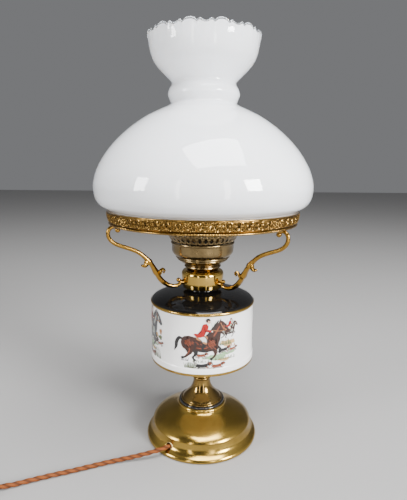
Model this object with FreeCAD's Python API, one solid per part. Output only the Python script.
import FreeCAD, Part
import math
import os

# Table lamp in the form of an oil lamp: spun brass foot, porcelain font, three
# scroll arms that carry a gallery ring with an opal glass shade, and an electric
# burner. Millimetres, +Z up, -Y is the front. The origin is on the lamp's axis,
# on the surface that the foot stands on.

# Driving dimensions
FOOT_RADIUS = 77.0           # rolled rim of the foot
FOOT_HEIGHT = 48.4           # top of the foot's bead
FOOT_WALL = 1.4
PLATE_RADIUS = 73.6          # cover plate and felt under the foot
PIPE_RADIUS = 5.0            # M10 x 1 lamp pipe
PIPE_BORE = 3.6
PIPE_HOLE = 5.2              # clearance hole for the pipe in every stacked piece
FONT_BOTTOM = 116.2
FONT_TOP = 197.0             # gilt edge of the drum
FONT_RADIUS = 69.5
FONT_WALL = 5.0
NECK_TOP = 213.0             # ceramic neck, where the collar sits
COLLAR_RADIUS = 27.2
COLLAR_TOP = 237.0
RING_BOTTOM = 301.0
RING_TOP = 317.0
RING_RADIUS = 122.5          # bright upper lip of the gallery ring
SEAT_HEIGHT = 305.0          # ledge that the shade stands on
FITTER_RADIUS = 117.5        # 235 mm shade fitter
GLASS_WALL = 3.5
CROWN_HEIGHT = 527.0
CROWN_REPEATS = 12
CROWN_START = 16.5           # degrees from the front to the middle of a crown lobe
ARM_ANGLES = {"arm_left": 202.0, "arm_right": 322.0, "arm_rear": 82.0}
ARM_ROD = 2.4                # radius of the arm's rod
BURNER_HOLES = 34
GALLERY_HOLES = 48
HOLDER_RADIUS = 19.5
HOLDER_TOP = 296.0
CAP_RADIUS = 13.2            # E27 bulb cap
BULB_RADIUS = 30.0
BULB_TOP = 374.0
CORD_RADIUS = 3.0
LEAD_RADIUS = 2.6            # cord without its braid, inside the lamp
EXIT_ANGLE = 232.5           # where the cord leaves the foot
EXIT_RADIUS = 68.6
EXIT_HEIGHT = 10.4
EXIT_TILT = 25.0             # the bush follows the slope of the foot
CLAMP_AXIS = 8.4             # height of the cord under its clamp
CLAMP_SCREW = 5.6            # clamp screws, from the cord's middle
RUNNING_GAP = 0.05
FIT_GAP = 0.1
CORD_GAP = 0.3

# Cord route on the floor, from the bush to the switch: x, y, z of the middle
ROUTE_TO_SWITCH = [
    (-38.9, -51.7, 9.8),
    (-48.6, -60.4, 11.6),
    (-60.5, -66.0, 10.9),
    (-75.5, -68.8, 8.2),
    (-93.5, -70.9, 5.0),
    (-113.5, -75.3, 3.2),
    (-135.5, -83.4, 3.0),
    (-158.0, -92.6, 3.0),
    (-180.5, -100.4, 3.0),
    (-203.0, -109.2, 3.0),
    (-221.5, -117.4, 3.1),
    (-233.8, -122.3, 4.6),
    (-243.6, -126.4, 6.4),
    (-253.0, -130.6, 7.0),
]
# From the switch to the first turn of the coil
ROUTE_TO_COIL = [
    (-302.3, -152.5, 7.0),
    (-312.0, -157.0, 6.5),
    (-324.0, -162.6, 4.4),
    (-336.6, -167.7, 3.1),
    (-346.5, -170.9, 3.0),
]
# From the top of the coil to the plug
ROUTE_TO_PLUG = [
    (-393.8, -134.5, 15.0),
    (-394.0, -124.5, 14.8),
    (-393.2, -113.5, 12.6),
    (-391.0, -102.0, 9.4),
    (-388.4, -91.0, 7.3),
    (-386.2, -82.0, 6.85),
]
SWITCH_LENGTH = 62.0
SWITCH_WIDTH = 25.0
SWITCH_HEIGHT = 18.0
SWITCH_AXIS = 7.0            # height of the cord inside the switch
SWITCH_HEADING = 204.0       # degrees, the way the cord runs through it
COIL_CENTRE = (-353.5, -131.0)
COIL_RADII = (28.5, 34.5, 40.5)
COIL_PITCH = 6.0             # a cord's width between neighbouring turns
COIL_LAYERS = 3
PLUG_HEADING = 76.0          # degrees, the way the plug's pins point
PLUG_THICKNESS = 13.7
PLUG_RELIEF = 24.0           # tapered strain relief behind the body
PLUG_FACE = 60.0             # front face, from the strain relief's end
PLUG_WIDTH = 35.3
PIN_RADIUS = 2.0
PIN_LENGTH = 19.0
PIN_SPACING = 18.6
PIN_ROOT = 8.0               # thicker root of each pin, inside the plug
PIN_ROOT_RADIUS = 2.6

ORIGIN = FreeCAD.Vector(0, 0, 0)
UP = FreeCAD.Vector(0, 0, 1)


def save(name, shape):
    """Write one node and say its volume."""
    shape.exportStep(f"parts/{name}.step")
    print(f"{name:16s} solids {len(shape.Solids)} valid {shape.isValid()} {shape.Volume:10.1f} mm3")


def turned(*outline):
    """Solid turned about the lamp's axis: a pair is a corner, a list is a curve to its last point."""
    here = outline[0]
    edges = []
    closing = () if isinstance(outline[-1], list) and outline[-1][-1] == outline[0] else (outline[0],)
    for step in outline[1:] + closing:
        through = [here] + (step if isinstance(step, list) else [step])
        points = [FreeCAD.Vector(r, 0, z) for r, z in through]
        if len(points) == 2:
            edges.append(Part.makeLine(*points))
        elif len(points) == 3:
            edges.append(Part.Arc(*points).toShape())
        else:
            curve = Part.BSplineCurve()
            curve.interpolate(points)
            edges.append(curve.toShape())
        here = through[-1]
    return Part.Face(Part.Wire(edges)).revolve(ORIGIN, UP, 360)


def rod(radius, start, direction, length):
    """Cylinder from a point along a direction."""
    return Part.makeCylinder(radius, length, FreeCAD.Vector(*start), FreeCAD.Vector(*direction))


def ring(outer, inner, bottom, top):
    """Flat washer or tube about the lamp's axis."""
    return turned((inner, bottom), (outer, bottom), (outer, top), (inner, top))


def around(shape, angle):
    """Copy of a shape turned about the lamp's axis."""
    copy = shape.copy()
    copy.rotate(ORIGIN, UP, angle)
    return copy


def tangent_path(points, label=None):
    """Wire of straight runs and tangent arcs, each arc as large as its two runs allow."""
    corners = [FreeCAD.Vector(*p) for p in points]
    edges = []
    radii = []
    here = corners[0]
    for before, corner, after in zip(corners, corners[1:], corners[2:]):
        back, ahead = before - corner, after - corner
        turn = math.pi - back.getAngle(ahead)
        cut = 0.45 * min(back.Length, ahead.Length)
        back.normalize()
        ahead.normalize()
        radii.append(cut / math.tan(turn / 2))
        middle = back + ahead
        middle.normalize()
        reach = radii[-1] * (1 / math.cos(turn / 2) - 1)
        first, last = corner + back * cut, corner + ahead * cut
        edges.append(Part.makeLine(here, first))
        edges.append(Part.Arc(first, corner + middle * reach, last).toShape())
        here = last
    edges.append(Part.makeLine(here, corners[-1]))
    wire = Part.Wire(edges)
    if label:
        print(f"{label}: length {wire.Length:.1f}, radii", " ".join(f"{r:.0f}" for r in radii))
    return wire


def tube(radius, points, label=None):
    """Round bar swept along a tangent path; its volume is compared with section times length."""
    wire = tangent_path(points, label)
    heading = FreeCAD.Vector(*points[1]) - FreeCAD.Vector(*points[0])
    section = Part.Wire(Part.makeCircle(radius, FreeCAD.Vector(*points[0]), heading))
    solid = wire.makePipeShell([section], True, True)
    if label:
        expected = math.pi * radius ** 2 * wire.Length
        print(f"{label}: volume {solid.Volume:.0f}, section times length {expected:.0f}")
    return solid


def heading_frame(shape, centre, angle):
    """Move a shape built along +X at the origin to a place on the floor, turned to a heading."""
    shape.rotate(ORIGIN, UP, angle)
    shape.translate(FreeCAD.Vector(*centre))
    return shape


# --- Foot -------------------------------------------------------------------

def exit_axis():
    """Point on the foot's surface and direction of the cord bush."""
    angle, tilt = math.radians(EXIT_ANGLE), math.radians(EXIT_TILT)
    point = (EXIT_RADIUS * math.cos(angle), EXIT_RADIUS * math.sin(angle), EXIT_HEIGHT)
    direction = (math.cos(tilt) * math.cos(angle), math.cos(tilt) * math.sin(angle), math.sin(tilt))
    return FreeCAD.Vector(*point), FreeCAD.Vector(*direction)


def foot_outside():
    """Outer form of the spun foot: rolled rim, cove, step, dome and bead."""
    return turned(
        (0, 0), (FOOT_RADIUS - 1.4, 0), [(FOOT_RADIUS, 2.2), (FOOT_RADIUS - 1.4, 5.0)],
        [(72.3, 6.6), (69.0, 9.5), (66.8, 13.0), (65.6, 18.0)], (65.4, 20.6), (66.6, 21.7),
        [(64.9, 24.6), (60.9, 28.2), (54.0, 32.2), (44.0, 36.9), (36.0, 40.9), (32.3, 44.0)],
        [(33.4, 46.2), (31.8, FOOT_HEIGHT)], (0, FOOT_HEIGHT),
    )


def base_shell():
    """Spun brass foot, hollow and open below, with the cord hole and the pipe hole."""
    hollow = turned(
        (0, -1), (74.2, -1), (74.2, 3.4),
        [(71.4, 5.4), (67.9, 8.6), (65.4, 12.4), (64.1, 18.0)], (64.0, 20.9), (63.6, 23.4),
        [(59.8, 27.0), (53.2, 30.9), (43.0, 35.6), (34.6, 39.9), (30.8, 43.6)],
        (30.6, FOOT_HEIGHT - FOOT_WALL), (0, FOOT_HEIGHT - FOOT_WALL),
    )
    point, axis = exit_axis()
    hole = rod(4.6, point - axis * 12, axis, 24)
    return foot_outside().cut(hollow).cut(rod(PIPE_HOLE, (0, 0, 40), (0, 0, 1), 12)).cut(hole)


def cord_bush():
    """Flanged eyelet in the cord hole, its flange bedded on the foot."""
    point, axis = exit_axis()
    flange = rod(5.7, point - axis * 3, axis, 4.6)
    sleeve = rod(4.5, point - axis * 4.5, axis, 6.1)
    bush = flange.cut(foot_outside()).fuse(sleeve)
    return bush.cut(rod(3.9, point - axis * 8, axis, 16)).removeSplitter()


def base_weight():
    """Cast iron ring in the foot, with a channel for the cord."""
    angle = math.radians(EXIT_ANGLE)
    disc = turned((22, 3.0), (62, 3.0), (62, 14.0), [(60, 20.0), (54, 25.0)], (22, 25.0))
    channel = Part.makeBox(70, 18, 40, FreeCAD.Vector(0, -9, 0))
    channel.rotate(ORIGIN, UP, math.degrees(angle))
    return disc.cut(channel)


def cord_clamp():
    """Bridge that holds the cord down on the cover plate."""
    block = Part.makeBox(7, 16, 9, FreeCAD.Vector(44, -8, 3.0))
    block = block.cut(rod(LEAD_RADIUS + FIT_GAP, (40, 0, CLAMP_AXIS), (1, 0, 0), 20))
    for side in (-CLAMP_SCREW, CLAMP_SCREW):
        block = block.cut(rod(1.55, (47.5, side, 0), (0, 0, 1), 20))
    return around(block, EXIT_ANGLE)


def clamp_screws():
    """Two cheese-head screws through the clamp."""
    screws = []
    for side in (-CLAMP_SCREW, CLAMP_SCREW):
        shank = rod(1.5, (47.5, side, 3.0), (0, 0, 1), 9.2)
        head = rod(2.3, (47.5, side, 12.05), (0, 0, 1), 1.8)
        slot = Part.makeBox(6, 0.6, 1, FreeCAD.Vector(44.5, side - 0.3, 13.2))
        screws.append(shank.fuse(head).cut(slot).removeSplitter())
    return around(Part.makeCompound(screws), EXIT_ANGLE)


def hex_nut(across_flats, bottom, height):
    """Hexagon nut on the lamp pipe."""
    radius = across_flats / math.sqrt(3)
    corners = [(radius * math.cos(math.radians(60 * k)), radius * math.sin(math.radians(60 * k)), bottom)
               for k in range(7)]
    prism = Part.Face(Part.makePolygon([FreeCAD.Vector(*c) for c in corners]))
    prism = prism.extrude(FreeCAD.Vector(0, 0, height))
    return prism.cut(rod(PIPE_RADIUS + RUNNING_GAP, (0, 0, bottom - 1), (0, 0, 1), height + 2))


# --- Stem and font ----------------------------------------------------------

def seat_ring():
    """Black ring between the foot's bead and the stem's flange."""
    bottom = FOOT_HEIGHT
    return turned((PIPE_HOLE, bottom), (30.6, bottom), [(31.3, bottom + 1.3), (30.6, bottom + 2.6)],
                  (PIPE_HOLE, bottom + 2.6))


def stem():
    """Turned brass trumpet, flanged below and beaded near its top."""
    bottom = FOOT_HEIGHT + 2.6
    return turned(
        (10.0, bottom), (28.2, bottom), [(28.8, 51.9), (27.9, 53.0)], (26.6, 53.6),
        [(24.4, 56.2), (20.4, 60.2), (16.2, 65.0), (13.4, 70.4), (11.9, 76.0), (11.2, 81.0)],
        [(12.4, 82.4), (11.2, 83.8)], (10.4, 84.6), (10.2, 106.0),
        [(12.6, 110.0), (19.5, 112.4)], (23.5, 113.0), [(24.3, 114.6), (23.5, 116.0)],
        (PIPE_HOLE, 116.0), (PIPE_HOLE, 112.5), (8.6, 110.0), (8.6, 84.0),
        [(10.2, 72.0), (13.4, 64.0), (17.2, 58.4), (20.6, 54.4)],
    )


def font_body():
    """Porcelain drum with a domed shoulder and a short neck."""
    inside = FONT_RADIUS - FONT_WALL
    return turned(
        (PIPE_HOLE + 1, 117.2), (63.5, 117.2), (64.5, FONT_BOTTOM),
        (FONT_RADIUS - 0.6, FONT_BOTTOM), [(FONT_RADIUS, 117.0), (FONT_RADIUS, 118.0)],
        (FONT_RADIUS, 126.0), [(FONT_RADIUS - 0.3, 126.8), (FONT_RADIUS - 0.9, 127.2)],
        (FONT_RADIUS - 0.9, 193.6), (FONT_RADIUS - 0.1, 194.6),
        [(FONT_RADIUS, 196.0), (FONT_RADIUS - 0.8, FONT_TOP + 0.3)],
        [(65.0, 200.8), (56.0, 204.6), (45.0, 207.2), (32.0, 208.9), (20.6, 209.6)],
        [(19.7, 210.0), (19.5, 211.0)], (19.5, NECK_TOP), (PIPE_HOLE + 1, NECK_TOP),
        (PIPE_HOLE + 1, 205.0), (24.0, 204.4), [(45.0, 201.8), (58.0, 197.6), (inside, 190.0)],
        (inside, 124.0), (62.0, 122.0), (PIPE_HOLE + 1, 122.0),
    )


def collar():
    """Brass collar that the three arms are screwed to, with a rounded top edge."""
    shell = turned(
        (PIPE_HOLE, NECK_TOP + 0.6), (26.6, NECK_TOP + 0.6), (COLLAR_RADIUS, NECK_TOP + 1.2),
        (COLLAR_RADIUS, 232.6), [(25.9, 235.8), (22.8, COLLAR_TOP)], (20.4, COLLAR_TOP),
        (20.4, 235.4), (22.4, 235.2), [(24.6, 234.4), (25.5, 232.4)], (25.5, 215.2),
        (PIPE_HOLE, 215.2),
    )
    for angle in ARM_ANGLES.values():
        shell = shell.cut(around(rod(1.6, (20, 0, 221.6), (1, 0, 0), 10), angle))
    return shell


# --- Arms and gallery ring --------------------------------------------------

ARM_LINE = [
    (113.4, 298.4), (118.4, 298.5), (122.3, 295.2), (123.4, 289.6), (121.4, 283.8),
    (116.6, 279.0), (110.0, 275.4), (99.5, 271.4), (87.2, 265.7), (77.2, 257.2),
    (70.0, 248.0), (65.2, 239.4), (59.2, 229.0), (51.8, 221.6), (42.4, 217.6),
    (34.6, 218.4), (30.6, 222.4),
]


def leaf(base, tip_middle, tip):
    """Small curled leaf beside the rod, with a rounded tip."""
    stalk = tube(1.5, [(base[0], 0, base[1]), (tip_middle[0], 0, tip_middle[1]), (tip[0], 0, tip[1])])
    return stalk.fuse(Part.makeSphere(2.1, FreeCAD.Vector(tip[0], 0, tip[1])))


def arm():
    """Cast scroll arm with a ball at each end and two leaves, bored for its screws."""
    body = tube(ARM_ROD, [(r, 0, z) for r, z in ARM_LINE])
    body = body.fuse(Part.makeSphere(3.4, FreeCAD.Vector(111.8, 0, 294.6)))
    body = body.fuse(Part.makeSphere(3.2, FreeCAD.Vector(33.6, 0, 225.4)))
    body = body.fuse(leaf((72.0, 253.5), (74.6, 247.4), (78.6, 246.6)))
    body = body.fuse(leaf((56.5, 226.5), (59.4, 233.4), (57.2, 238.6)))
    body = body.fuse(rod(3.0, (COLLAR_RADIUS + FIT_GAP, 0, 221.6), (1, 0, 0), 3.6))
    pad = Part.makeBox(8.4, 6.0, 4.4, FreeCAD.Vector(109.8, -3.0, 299.0))
    body = body.fuse(pad).cut(Part.makeBox(30, 30, 9, FreeCAD.Vector(100, -15, SEAT_HEIGHT - 1.6)))
    body = body.cut(rod(1.3, (111.8, 0, 299.6), (0, 0, 1), 6))
    body = body.cut(rod(1.3, (COLLAR_RADIUS - 1, 0, 221.6), (1, 0, 0), 4.4))
    # the ring's bottom bead beds into the top of the scroll
    return body.cut(ring(121.2, 118.0, RING_BOTTOM - 0.05, RING_TOP)).removeSplitter()


def arm_screws():
    """Screws from inside the collar into the arms."""
    screw = rod(1.25, (25.0, 0, 221.6), (1, 0, 0), 5.4)
    head = rod(2.6, (23.4, 0, 221.6), (1, 0, 0), 2.0)
    slot = Part.makeBox(0.8, 7, 0.6, FreeCAD.Vector(23.3, -3.5, 221.3))
    screw = screw.fuse(head).cut(slot).removeSplitter()
    return Part.makeCompound([around(screw, angle) for angle in ARM_ANGLES.values()])


def gallery_ring():
    """Pierced brass band with a bright lip, a bottom bead and an inner ledge for the glass."""
    band = turned(
        (109.0, SEAT_HEIGHT - 1.5), (118.2, SEAT_HEIGHT - 1.5), (118.2, RING_BOTTOM),
        (119.2, RING_BOTTOM), [(121.0, 302.2), (119.8, 303.8)],
        [(121.2, 306.4), (122.4, 310.4), (122.5, 313.2)], [(123.2, 314.2), (122.9, 315.2)],
        [(123.4, 316.2), (RING_RADIUS, RING_TOP)], (119.4, RING_TOP), (119.2, 313.0),
        (118.6, SEAT_HEIGHT), (109.0, SEAT_HEIGHT),
    )
    for k in range(GALLERY_HOLES):
        band = band.cut(around(rod(1.7, (114, 0, 309.0), (1, 0, 0), 12), 360.0 * k / GALLERY_HOLES))
    for angle in ARM_ANGLES.values():
        band = band.cut(around(rod(1.3, (111.8, 0, 300), (0, 0, 1), 8), angle))
    return band


def ring_rivets():
    """Rivets that hold the ring's ledge on the arms' pads."""
    under_head = SEAT_HEIGHT + 0.02
    rivet = turned((0, 300.0), (1.25, 300.0), (1.25, under_head), (2.0, under_head),
                   [(1.7, under_head + 0.6), (1.0, under_head + 0.9)], (0, under_head + 0.9))
    rivet.translate(FreeCAD.Vector(111.8, 0, 0))
    return Part.makeCompound([around(rivet, angle) for angle in ARM_ANGLES.values()])


# --- Burner, lampholder and bulb ---------------------------------------------

def burner_bowl():
    """Spun burner body: foot bead, cove, two ridges and a straight band."""
    return turned(
        (PIPE_HOLE, 235.6), (19.0, 235.6), (20.0, 237.6), (21.4, 240.4), [(24.2, 242.0), (22.8, 244.2)],
        [(24.2, 246.4), (27.4, 248.4), (31.0, 250.0)], [(32.6, 251.3), (31.8, 252.6)],
        [(34.8, 253.6), (34.4, 255.2)], [(37.4, 257.6), (38.8, 260.8), (39.0, 265.0)],
        (39.0, 272.6), [(40.9, 274.0), (40.4, 275.6)], (38.8, 275.6), (37.6, 273.4), (37.6, 265.0),
        [(36.8, 260.6), (33.6, 256.8), (30.0, 254.0)], [(24.0, 249.4), (21.0, 246.0), (19.6, 241.0)],
        (18.0, 237.4), (PIPE_HOLE, 237.4),
    )


def burner_crown():
    """Flared, pierced band on the burner, with a row of oval holes and cut-outs above it."""
    band = turned(
        (39.2, 275.7), (40.6, 275.7), [(42.1, 277.3), (44.2, 280.4), (45.8, 283.6), (46.8, 287.0)],
        (45.8, 287.2), [(44.8, 284.0), (43.2, 280.9), (41.1, 277.8), (39.2, 276.6)],
    )
    step = 360.0 / BURNER_HOLES
    for k in range(BURNER_HOLES):
        oval = rod(1.3, (38, 0, 279.4), (1, 0, 0), 10).fuse(rod(1.3, (38, 0, 280.2), (1, 0, 0), 10))
        band = band.cut(around(oval, step * k))
        notch = Part.makePolygon([FreeCAD.Vector(38, y, z) for y, z in
                                  ((-1.7, 285.0), (1.7, 285.0), (0, 281.6), (-1.7, 285.0))])
        band = band.cut(around(Part.Face(notch).extrude(FreeCAD.Vector(12, 0, 0)), step * (k + 0.5)))
    return band


def holder_cap():
    """Lower cup of the lampholder, screwed on the pipe."""
    return turned(
        (PIPE_RADIUS + RUNNING_GAP, 244.0), (8.0, 244.0), (8.0, 252.0),
        [(15.0, 254.0), (HOLDER_RADIUS, 259.0)], (HOLDER_RADIUS, 264.0), (17.6, 264.0),
        (17.6, 259.6), [(14.0, 256.0), (9.0, 255.0)],
        (PIPE_RADIUS + RUNNING_GAP, 255.0),
    )


def holder_body():
    """Outer shell of the E27 lampholder."""
    return turned(
        (16.0, 264.0), (HOLDER_RADIUS, 264.0), (HOLDER_RADIUS, 293.0), [(19.0, 295.2), (17.0, HOLDER_TOP)],
        (13.9, HOLDER_TOP), (13.9, 272.0), (16.0, 272.0),
    )


def holder_insert():
    """Ceramic disc with the two contacts' seat."""
    disc = turned((3.7, 264.0), (15.9, 264.0), (15.9, 268.0), (3.7, 268.0))
    return disc.cut(rod(1.5, (9.0, 0, 260), (0, 0, 1), 12)).cut(rod(1.5, (-9.0, 0, 260), (0, 0, 1), 12))


def holder_contact():
    """Sprung centre contact tongue on the insert."""
    post = Part.makeBox(5.0, 5.0, 0.6, FreeCAD.Vector(6.5, -2.5, 268.0))
    tongue = Part.makeBox(10.0, 4.0, 0.4, FreeCAD.Vector(-2.5, -2.0, 268.6))
    return post.fuse(tongue).removeSplitter()


def bulb_cap():
    """E27 screw cap of the bulb."""
    bottom = 269.3
    return turned(
        (0, bottom), (4.5, bottom), [(5.0, bottom + 0.4), (5.2, bottom + 1.0)], (9.0, bottom + 3.4),
        (12.2, bottom + 5.0), (CAP_RADIUS, bottom + 6.2), (CAP_RADIUS, 294.4), (13.5, 295.2),
        (13.5, 296.4), (12.6, 296.4), (12.2, 294.0), (12.2, bottom + 6.6), (0, bottom + 5.0),
    )


def bulb_glass():
    """Pear-shaped glass, hollow, cemented in the cap."""
    return turned(
        (11.0, 295.0), (12.1, 295.0), (12.6, 297.5),
        [(15.6, 306.0), (22.6, 319.0), (28.2, 331.5), (BULB_RADIUS, 344.0), (27.4, 357.0), (19.4, 367.8),
         (9.8, 372.7), (0, BULB_TOP)],
        (0, BULB_TOP - 0.9),
        [(9.4, 371.9), (18.8, 367.1), (26.6, 356.6), (29.1, 344.0), (27.3, 331.9), (21.8, 319.5),
         (14.8, 306.5), (11.5, 297.5)],
    )


# --- Shade ------------------------------------------------------------------

SHADE_CURVE = [
    (119.6, 318.2), (125.0, 321.0), (131.4, 325.4), (136.0, 333.0), (137.9, 345.0), (136.2, 357.0),
    (131.9, 369.0), (125.2, 381.0), (116.6, 393.0), (105.6, 405.0), (91.9, 417.0), (74.9, 429.0),
    (59.0, 437.4), (45.6, 443.6), (41.2, 447.2), (42.6, 452.0), (44.4, 457.4), (43.0, 463.4),
    (40.1, 468.6), (40.6, 473.2), (48.2, 481.0), (56.2, 489.0), (61.9, 497.0), (65.0, 505.0),
    (66.6, 513.0), (67.4, 519.0), (68.4, 523.0), (69.6, CROWN_HEIGHT),
]


def wall_inside(points, wall):
    """Points of the glass's inner face: the outer ones moved in, square to the curve."""
    moved = []
    for k, (r, z) in enumerate(points):
        before, after = points[max(k - 1, 0)], points[min(k + 1, len(points) - 1)]
        run, rise = after[0] - before[0], after[1] - before[1]
        size = math.hypot(run, rise)
        moved.append((r - wall * rise / size, z + wall * run / size))
    return moved


def crown_gap():
    """Cutter for one repeat of the crown: a flat valley between two peaks, beside the round lobe."""
    valley = rod(9.0, (60, 0, CROWN_HEIGHT + 6.0), (1, 0, 0), 20)
    notches = [around(rod(1.6, (60, 0, CROWN_HEIGHT - 1.6), (1, 0, 0), 20), side) for side in (-7.8, 7.8)]
    for side in (-7.8, 7.8):
        block = Part.makeBox(20, 3.2, 6, FreeCAD.Vector(60, -1.6, CROWN_HEIGHT - 1.6))
        notches.append(around(block, side))
    return valley.fuse(notches)


def shade():
    """Opal glass shade: fitter, dome, waisted neck and crimped crown."""
    inner = wall_inside(SHADE_CURVE, GLASS_WALL)
    foot = SEAT_HEIGHT + FIT_GAP
    top = (inner[-1][0], CROWN_HEIGHT)
    glass = turned(
        (FITTER_RADIUS - GLASS_WALL, foot), (FITTER_RADIUS, foot), (FITTER_RADIUS, 315.6), SHADE_CURVE,
        top, inner[-2], inner[-3::-1], (FITTER_RADIUS - GLASS_WALL, 318.0),
    )
    step = 360.0 / CROWN_REPEATS
    gap = crown_gap()
    start = -90.0 + CROWN_START + step / 2
    for k in range(CROWN_REPEATS):
        glass = glass.cut(around(gap, start + step * k))
    return glass


# --- Switch on the cord -------------------------------------------------------

def switch_block():
    """Outer form of the switch, rounded in plan and along its top."""
    half = SWITCH_LENGTH / 2
    block = Part.makeBox(SWITCH_LENGTH, SWITCH_WIDTH, SWITCH_HEIGHT,
                         FreeCAD.Vector(-half, -SWITCH_WIDTH / 2, 0))
    upright = [e for e in block.Edges if abs(e.tangentAt(e.FirstParameter).z) > 0.9]
    block = block.makeFillet(9.0, upright)
    top = [e for e in block.Edges if e.BoundBox.ZMin > SWITCH_HEIGHT - 0.01]
    block = block.makeFillet(3.0, top)
    bottom = [e for e in block.Edges if e.BoundBox.ZMax < 0.01]
    return block.makeFillet(1.0, bottom)


SWITCH_SPLIT = 8.0           # height where the two shells meet
PIVOT_HEIGHT = 13.0
ROCKER_HALF = 8.0
ROCKER_WIDTH = 9.4


def switch_shells():
    """Lower and upper shell, hollow, with cord holes, rocker slot and pivot bores."""
    block = switch_block()
    hollow = Part.makeBox(46, 19, 13.2, FreeCAD.Vector(-23, -9.5, 2.2))
    well = Part.makeBox(22.2, ROCKER_WIDTH + 4.0, 6.4, FreeCAD.Vector(-11.1, -ROCKER_WIDTH / 2 - 2.0, 10.0))
    slot = Part.makeBox(18.6, ROCKER_WIDTH + 0.6, 12, FreeCAD.Vector(-9.3, -ROCKER_WIDTH / 2 - 0.3, 9.5))
    cord_hole = rod(CORD_RADIUS + CORD_GAP, (-40, 0, SWITCH_AXIS), (1, 0, 0), 80)
    bores = rod(1.25, (0, -7.2, PIVOT_HEIGHT), (0, 1, 0), 14.4)
    shell = block.cut(hollow.cut(well)).cut(slot).cut(cord_hole).cut(bores)
    for x in (-26.0, 26.0):
        shell = shell.cut(rod(1.3, (x, 8.0, -1), (0, 0, 1), 13.0))
        shell = shell.cut(rod(2.5, (x, 8.0, -1), (0, 0, 1), 3.2))
    cut = Part.makeBox(100, 100, 50, FreeCAD.Vector(-50, -50, SWITCH_SPLIT))
    return shell.cut(cut), shell.common(cut)


def switch_rocker():
    """Rocker with its pivot pin, tipped to one side."""
    outline = [(-ROCKER_HALF, -1.6), (ROCKER_HALF, -1.6), (ROCKER_HALF, 4.4), (0, 3.5), (-ROCKER_HALF, 4.4),
               (-ROCKER_HALF, -1.6)]
    face = Part.Face(Part.makePolygon([FreeCAD.Vector(x, -ROCKER_WIDTH / 2, z) for x, z in outline]))
    body = face.extrude(FreeCAD.Vector(0, ROCKER_WIDTH, 0))
    body = body.fuse(rod(1.2, (0, -6.4, 0), (0, 1, 0), 12.8)).removeSplitter()
    body.rotate(ORIGIN, FreeCAD.Vector(0, 1, 0), 12)
    body.translate(FreeCAD.Vector(0, 0, PIVOT_HEIGHT))
    return body


def switch_screws():
    """Two screws that close the switch from below."""
    screws = []
    for x in (-26.0, 26.0):
        head = rod(2.3, (x, 8.0, 0.8), (0, 0, 1), 1.3)
        shank = rod(1.25, (x, 8.0, 2.0), (0, 0, 1), 9.6)
        cross = Part.makeBox(6, 0.6, 0.7, FreeCAD.Vector(x - 3, 7.7, 0.6))
        screws.append(head.fuse(shank).cut(cross).removeSplitter())
    return Part.makeCompound(screws)


def switch_centre():
    """Middle of the switch: half its length on from the end of the first cord route."""
    heading = math.radians(SWITCH_HEADING)
    x, y, _ = ROUTE_TO_SWITCH[-1]
    reach = SWITCH_LENGTH / 2 - 4.0
    return (x + reach * math.cos(heading), y + reach * math.sin(heading), 0.0)


# --- Cord, coil and plug -------------------------------------------------------

def coil_solid():
    """Outer form of the wound cord: a rounded ring."""
    inner, outer = COIL_RADII[0] - CORD_RADIUS, COIL_RADII[-1] + CORD_RADIUS
    top = COIL_PITCH * COIL_LAYERS
    edge = CORD_RADIUS
    bend = edge * (1 - math.sqrt(0.5))
    ring_solid = turned(
        (inner + edge, 0), (outer - edge, 0), [(outer - bend, bend), (outer, edge)], (outer, top - edge),
        [(outer - bend, top - bend), (outer - edge, top)], (inner + edge, top),
        [(inner + bend, top - bend), (inner, top - edge)], (inner, edge),
        [(inner + bend, bend), (inner + edge, 0)],
    )
    ring_solid.translate(FreeCAD.Vector(COIL_CENTRE[0], COIL_CENTRE[1], 0))
    return ring_solid


def plug_body():
    """Flat two-pin plug with a tapered strain relief, pins towards +X, cord at the origin."""
    relief = PLUG_RELIEF
    wide, narrow = PLUG_WIDTH / 2, 6.5
    outline = [(relief, -narrow), (relief + 18, -wide), (PLUG_FACE, -wide), (PLUG_FACE, wide),
               (relief + 18, wide), (relief, narrow), (relief, -narrow)]
    face = Part.Face(Part.makePolygon([FreeCAD.Vector(x, y, -PLUG_THICKNESS / 2) for x, y in outline]))
    body = face.extrude(FreeCAD.Vector(0, 0, PLUG_THICKNESS))
    body = body.makeFillet(3.0, [e for e in body.Edges if e.BoundBox.XMax < PLUG_FACE - 0.1])
    sleeve = Part.makeCone(4.0, 5.6, relief + 3, ORIGIN, FreeCAD.Vector(1, 0, 0))
    body = body.fuse(sleeve)
    for x in (6.0, 11.0, 16.0, 21.0):
        groove = rod(8, (x, 0, 0), (1, 0, 0), 1.6).cut(rod(3.7, (x, 0, 0), (1, 0, 0), 1.6))
        half = Part.makeBox(1.6, 20, 4, FreeCAD.Vector(x, -10, -2 if int(x) % 2 else 2))
        body = body.cut(groove.common(half))
    body = body.cut(rod(CORD_RADIUS + CORD_GAP, (-1, 0, 0), (1, 0, 0), 13.0))
    for side in (-1, 1):
        root = (PLUG_FACE - PIN_ROOT, side * PIN_SPACING / 2, 0)
        body = body.cut(rod(PIN_ROOT_RADIUS + RUNNING_GAP, root, (1, 0, 0), 10))
    return body


def plug_pins():
    """Two round pins with tapered tips."""
    pins = []
    for side in (-1, 1):
        across = side * PIN_SPACING / 2
        root = rod(PIN_ROOT_RADIUS, (PLUG_FACE - PIN_ROOT, across, 0), (1, 0, 0), PIN_ROOT)
        pin = rod(PIN_RADIUS, (PLUG_FACE, across, 0), (1, 0, 0), PIN_LENGTH - 1.0)
        tip = Part.makeCone(PIN_RADIUS, PIN_RADIUS - 0.8, 1.0,
                            FreeCAD.Vector(PLUG_FACE + PIN_LENGTH - 1.0, across, 0), FreeCAD.Vector(1, 0, 0))
        pins.append(root.fuse([pin, tip]).removeSplitter())
    return Part.makeCompound(pins)


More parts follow.
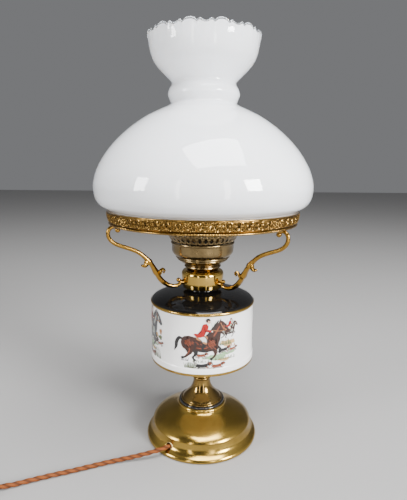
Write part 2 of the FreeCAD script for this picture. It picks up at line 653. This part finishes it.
def plug_place(shape):
    """Lay the plug on the floor at the end of its lead."""
    return heading_frame(shape, ROUTE_TO_PLUG[-1], PLUG_HEADING)


def inner_lead():
    """Cord inside the lamp: under the clamp and up the pipe to the lampholder."""
    angle = math.radians(EXIT_ANGLE)
    route = [ROUTE_TO_SWITCH[0]]
    for radius, height in ((57.0, CLAMP_AXIS), (38.0, CLAMP_AXIS), (16.0, CLAMP_AXIS + 0.8), (0, 24.0)):
        route.append((radius * math.cos(angle), radius * math.sin(angle), height))
    route.append((0, 0, 262.0))
    return tube(LEAD_RADIUS, route, "inner_lead")


def main():
    os.makedirs("parts", exist_ok=True)
    save("base_shell", base_shell())
    save("base_plate", rod(PLATE_RADIUS, (0, 0, 1.6), (0, 0, 1), 1.4))
    save("base_felt", rod(PLATE_RADIUS, (0, 0, 0), (0, 0, 1), 1.6))
    save("base_weight", base_weight())
    save("cord_bush", cord_bush())
    save("cord_clamp", cord_clamp())
    save("clamp_screws", clamp_screws())
    save("base_washer", ring(14.0, PIPE_HOLE, 45.2, FOOT_HEIGHT - FOOT_WALL))
    save("base_nut", hex_nut(17.0, 37.2, 8.0))
    save("lamp_pipe", ring(PIPE_RADIUS, PIPE_BORE, 30.0, 252.0))
    save("seat_ring", seat_ring())
    save("stem", stem())
    save("font_gasket", ring(22.0, PIPE_HOLE, 116.0, 117.2))
    save("font_body", font_body())
    save("neck_gasket", ring(18.6, PIPE_HOLE, NECK_TOP, NECK_TOP + 0.6))
    save("collar", collar())
    for name, angle in ARM_ANGLES.items():
        save(name, around(arm(), angle))
    save("arm_screws", arm_screws())
    save("gallery_ring", gallery_ring())
    save("ring_rivets", ring_rivets())
    save("burner_bowl", burner_bowl())
    save("burner_crown", burner_crown())
    save("burner_nut", hex_nut(17.0, 237.5, 5.0))
    save("holder_cap", holder_cap())
    save("holder_body", holder_body())
    save("holder_insert", holder_insert())
    save("holder_contact", holder_contact())
    save("inner_lead", inner_lead())
    save("bulb_cap", bulb_cap())
    save("bulb_glass", bulb_glass())
    save("shade", shade())
    save("lead_to_switch", tube(CORD_RADIUS, ROUTE_TO_SWITCH, "lead_to_switch"))
    save("lead_to_coil", tube(CORD_RADIUS, ROUTE_TO_COIL, "lead_to_coil"))
    save("lead_coil", coil_solid())
    save("lead_to_plug", tube(CORD_RADIUS, ROUTE_TO_PLUG, "lead_to_plug"))
    lower, upper = switch_shells()
    place = switch_centre()
    save("switch_base", heading_frame(lower, place, SWITCH_HEADING))
    save("switch_cover", heading_frame(upper, place, SWITCH_HEADING))
    save("switch_rocker", heading_frame(switch_rocker(), place, SWITCH_HEADING))
    save("switch_screws", heading_frame(switch_screws(), place, SWITCH_HEADING))
    save("plug_body", plug_place(plug_body()))
    save("plug_pins", plug_place(plug_pins()))
    print("switch centre", place)


main()
